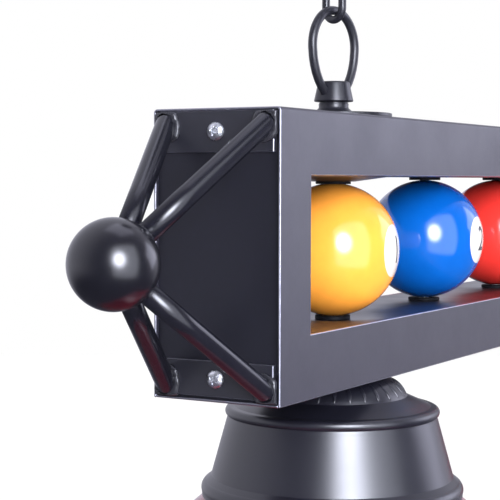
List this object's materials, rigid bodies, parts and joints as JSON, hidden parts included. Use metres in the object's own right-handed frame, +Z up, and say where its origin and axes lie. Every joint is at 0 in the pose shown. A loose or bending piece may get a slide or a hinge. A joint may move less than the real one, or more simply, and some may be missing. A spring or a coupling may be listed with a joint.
{
  "type": "pool table lamp",
  "caption": "Long hanging pool table lamp: black box beam with pool balls in its windows, wide conical shades below, ball finials on its ends, and a chain at each end.",
  "frame": {"origin": "on the ceiling plane, midway between the two ceiling plates", "axes": "+X along the beam, -Y towards the side that the ball numbers face, +Z up"},
  "size_m": [1.7598, 0.32, 0.4784],
  "materials": {
    "beam_black": "satin black powder coat",
    "rail_black": "gloss black paint",
    "plate_black": "satin black paint",
    "finial_black": "semi-gloss black paint",
    "zinc": "bright zinc plate",
    "chain_black": "semi-gloss black paint",
    "washer_dark": "matte",
    "shade_red": "gloss enamel, deep red outside and white inside",
    "cap_black": "satin black paint",
    "socket_black": "moulded",
    "bulb_glass": "frosted white",
    "terminal_cream": "moulded",
    "wire_cream": "insulated",
    "ball_yellow": "polished resin",
    "ball_blue": "polished resin",
    "ball_red": "polished resin",
    "ball_purple": "polished resin",
    "ball_orange": "polished resin",
    "ball_green": "polished resin",
    "ball_maroon": "polished resin",
    "ball_black": "polished resin"
  },
  "bodies": {
    "root": {"ceiling_plates": "chain_black", "ceiling_loops": "chain_black", "ceiling_nipples": "zinc"},
    "top_links": {"top_links": "chain_black"},
    "left_chain": {"left_chain": "chain_black"},
    "right_chain": {"right_chain": "chain_black"},
    "left_low_link": {"left_low_link": "chain_black"},
    "right_low_link": {"right_low_link": "chain_black"},
    "lamp": {"housing": "beam_black", "bottom_cover": "beam_black", "upper_ball_rail": "rail_black", "lower_ball_rail": "rail_black", "left_end_plate": "plate_black", "right_end_plate": "plate_black", "left_finial_ball": "finial_black", "right_finial_ball": "finial_black", "left_finial_rods": "finial_black", "right_finial_rods": "finial_black", "left_finial_straps": "finial_black", "right_finial_straps": "finial_black", "end_screws": "zinc", "threaded_pipes": "zinc", "pipe_nuts": "zinc", "ball_bolts": "zinc", "ball_nuts": "zinc", "left_hang_loop": "chain_black", "right_hang_loop": "chain_black", "loop_washers": "chain_black", "ball_washers": "washer_dark", "ball_01": "ball_yellow", "ball_08": "ball_black", "ball_15": "ball_maroon", "left_shade": "shade_red", "centre_shade": "shade_red", "right_shade": "shade_red", "left_cap": "cap_black", "centre_cap": "cap_black", "right_cap": "cap_black", "left_socket": "socket_black", "centre_socket": "socket_black", "right_socket": "socket_black", "socket_rings": "socket_black", "cord_bushing": "socket_black", "terminal_block": "terminal_cream", "wire_harness": "wire_cream"},
    "left_bulb": {"left_bulb": "bulb_glass"},
    "centre_bulb": {"centre_bulb": "bulb_glass"},
    "right_bulb": {"right_bulb": "bulb_glass"},
    "ball_02": {"ball_02": "ball_blue"},
    "ball_03": {"ball_03": "ball_red"},
    "ball_04": {"ball_04": "ball_purple"},
    "ball_05": {"ball_05": "ball_orange"},
    "ball_06": {"ball_06": "ball_green"},
    "ball_07": {"ball_07": "ball_maroon"},
    "ball_09": {"ball_09": "ball_yellow"},
    "ball_10": {"ball_10": "ball_blue"},
    "ball_11": {"ball_11": "ball_red"},
    "ball_12": {"ball_12": "ball_purple"},
    "ball_13": {"ball_13": "ball_orange"},
    "ball_14": {"ball_14": "ball_green"}
  },
  "joints": [
    {"name": "side_swing", "type": "hinge", "parent": "root", "child": "top_links", "pos_m": [0, 0, -0.0583], "axis": [1, 0, 0], "range_deg": [-20, 20]},
    {"name": "end_swing", "type": "hinge", "parent": "top_links", "child": "left_chain", "pos_m": [-0.7, 0, -0.0798], "axis": [0, 1, 0], "range_deg": [-15, 15]},
    {"name": "right_chain_swing", "type": "hinge", "parent": "top_links", "child": "right_chain", "pos_m": [0.7, 0, -0.0798], "axis": [0, 1, 0], "range_deg": [-15, 15]},
    {"name": "left_level", "type": "hinge", "parent": "left_chain", "child": "left_low_link", "pos_m": [-0.7, 0, -0.1412], "axis": [0, 1, 0], "range_deg": [-15, 15]},
    {"name": "right_level", "type": "hinge", "parent": "right_chain", "child": "right_low_link", "pos_m": [0.7, 0, -0.1412], "axis": [0, 1, 0], "range_deg": [-15, 15]},
    {"name": "lamp_tilt", "type": "hinge", "parent": "left_low_link", "child": "lamp", "pos_m": [-0.7, 0, -0.1627], "axis": [1, 0, 0], "range_deg": [-15, 15]},
    {"name": "left_bulb_turn", "type": "hinge", "parent": "lamp", "child": "left_bulb", "pos_m": [-0.7, 0, -0.3782], "axis": [0, 0, -1], "range_deg": [0, 1080]},
    {"name": "centre_bulb_turn", "type": "hinge", "parent": "lamp", "child": "centre_bulb", "pos_m": [0, 0, -0.3782], "axis": [0, 0, -1], "range_deg": [0, 1080]},
    {"name": "right_bulb_turn", "type": "hinge", "parent": "lamp", "child": "right_bulb", "pos_m": [0.7, 0, -0.3782], "axis": [0, 0, -1], "range_deg": [0, 1080]},
    {"name": "ball_02_turn", "type": "hinge", "parent": "lamp", "child": "ball_02", "pos_m": [-0.6, 0, -0.26345], "axis": [0, 0, 1], "continuous": true},
    {"name": "ball_03_turn", "type": "hinge", "parent": "lamp", "child": "ball_03", "pos_m": [-0.5, 0, -0.26345], "axis": [0, 0, 1], "continuous": true},
    {"name": "ball_04_turn", "type": "hinge", "parent": "lamp", "child": "ball_04", "pos_m": [-0.4, 0, -0.26345], "axis": [0, 0, 1], "continuous": true},
    {"name": "ball_05_turn", "type": "hinge", "parent": "lamp", "child": "ball_05", "pos_m": [-0.3, 0, -0.26345], "axis": [0, 0, 1], "continuous": true},
    {"name": "ball_06_turn", "type": "hinge", "parent": "lamp", "child": "ball_06", "pos_m": [-0.2, 0, -0.26345], "axis": [0, 0, 1], "continuous": true},
    {"name": "ball_07_turn", "type": "hinge", "parent": "lamp", "child": "ball_07", "pos_m": [-0.1, 0, -0.26345], "axis": [0, 0, 1], "continuous": true},
    {"name": "ball_09_turn", "type": "hinge", "parent": "lamp", "child": "ball_09", "pos_m": [0.1, 0, -0.26345], "axis": [0, 0, 1], "continuous": true},
    {"name": "ball_10_turn", "type": "hinge", "parent": "lamp", "child": "ball_10", "pos_m": [0.2, 0, -0.26345], "axis": [0, 0, 1], "continuous": true},
    {"name": "ball_11_turn", "type": "hinge", "parent": "lamp", "child": "ball_11", "pos_m": [0.3, 0, -0.26345], "axis": [0, 0, 1], "continuous": true},
    {"name": "ball_12_turn", "type": "hinge", "parent": "lamp", "child": "ball_12", "pos_m": [0.4, 0, -0.26345], "axis": [0, 0, 1], "continuous": true},
    {"name": "ball_13_turn", "type": "hinge", "parent": "lamp", "child": "ball_13", "pos_m": [0.5, 0, -0.26345], "axis": [0, 0, 1], "continuous": true},
    {"name": "ball_14_turn", "type": "hinge", "parent": "lamp", "child": "ball_14", "pos_m": [0.6, 0, -0.26345], "axis": [0, 0, 1], "continuous": true}
  ],
  "couplings": [
    {"joint": "right_chain_swing", "follows": "end_swing", "ratio": 1},
    {"joint": "left_level", "follows": "end_swing", "ratio": -1},
    {"joint": "right_level", "follows": "end_swing", "ratio": -1}
  ]
}
